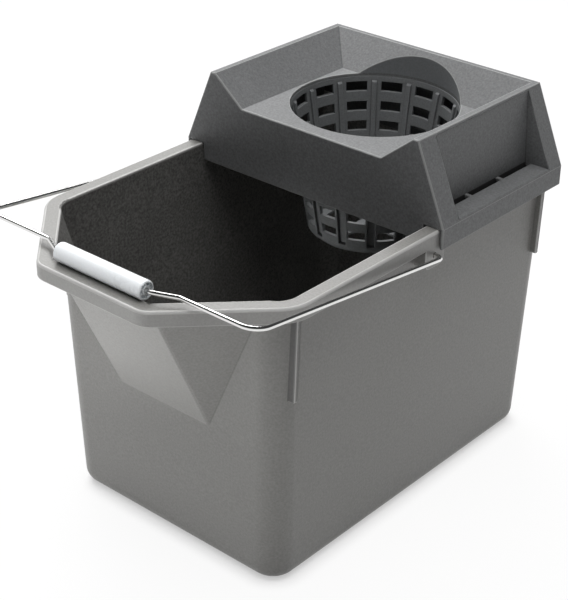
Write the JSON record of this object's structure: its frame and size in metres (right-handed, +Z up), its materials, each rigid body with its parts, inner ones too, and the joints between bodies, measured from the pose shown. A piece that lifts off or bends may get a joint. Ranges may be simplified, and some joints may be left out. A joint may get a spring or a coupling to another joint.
{
  "type": "mop bucket with wringer",
  "caption": "Oblong plastic mop pail with a pouring spout, a swinging wire bail with a roller grip, and a lift-off wringer that holds a perforated conical strainer.",
  "frame": {"origin": "middle of the pail's base, on the plane it stands on", "axes": "+Z up, -Y towards the pouring spout and the bail at rest, +X to the right seen from the spout"},
  "size_m": [0.2608, 0.3978, 0.299],
  "materials": {
    "pail_plastic": "fine-grained satin",
    "wringer_plastic": "fine-grained satin",
    "basket_plastic": "satin",
    "wire": "bright plated",
    "grip_plastic": "smooth"
  },
  "bodies": {
    "pail": {"pail_body": "pail_plastic"},
    "wringer": {"wringer_housing": "wringer_plastic", "strainer_basket": "basket_plastic"},
    "bail": {"bail_wire": "wire"},
    "grip": {"bail_grip": "grip_plastic"}
  },
  "joints": [
    {"name": "wringer_lift", "type": "slide", "parent": "pail", "child": "wringer", "axis": [0, 0, 1], "range_m": [0, 0.12]},
    {"name": "bail_swing", "type": "hinge", "parent": "pail", "child": "bail", "pos_m": [0, -0.006, 0.219], "axis": [-1, 0, 0], "range_deg": [0, 204]},
    {"name": "grip_spin", "type": "hinge", "parent": "bail", "child": "grip", "pos_m": [0, -0.21093, 0.24361], "axis": [1, 0, 0], "continuous": true}
  ]
}
